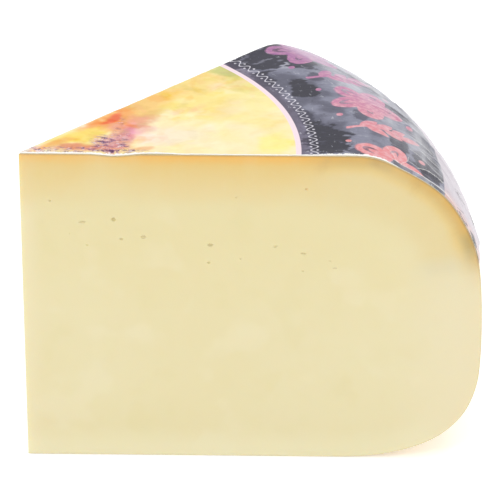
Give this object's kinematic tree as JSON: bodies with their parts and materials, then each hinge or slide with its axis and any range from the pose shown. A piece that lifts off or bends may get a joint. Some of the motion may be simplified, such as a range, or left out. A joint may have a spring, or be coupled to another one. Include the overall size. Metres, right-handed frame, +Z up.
{
  "type": "cheese wedge",
  "caption": "Upright wedge cut from a large semi-hard cheese wheel with a rounded rim, two smooth knife-cut faces and a printed paper label over the top.",
  "frame": {"origin": "middle of the wedge's box at the level of its flat underside, which is where it stands", "axes": "+Z up along the wheel's axis; +X along the front cut face from the sharp inner edge to the rim; +Y from the front cut face, which faces -Y, into the wedge"},
  "size_m": [0.173, 0.124, 0.13],
  "materials": {
    "cheese": "satin, faintly moist pale yellow paste with a slightly darker tan rind",
    "label": "glossy coated print, creased where it folds over the shoulder"
  },
  "bodies": {
    "root": {"cheese": "cheese", "top_label": "label"}
  },
  "joints": []
}
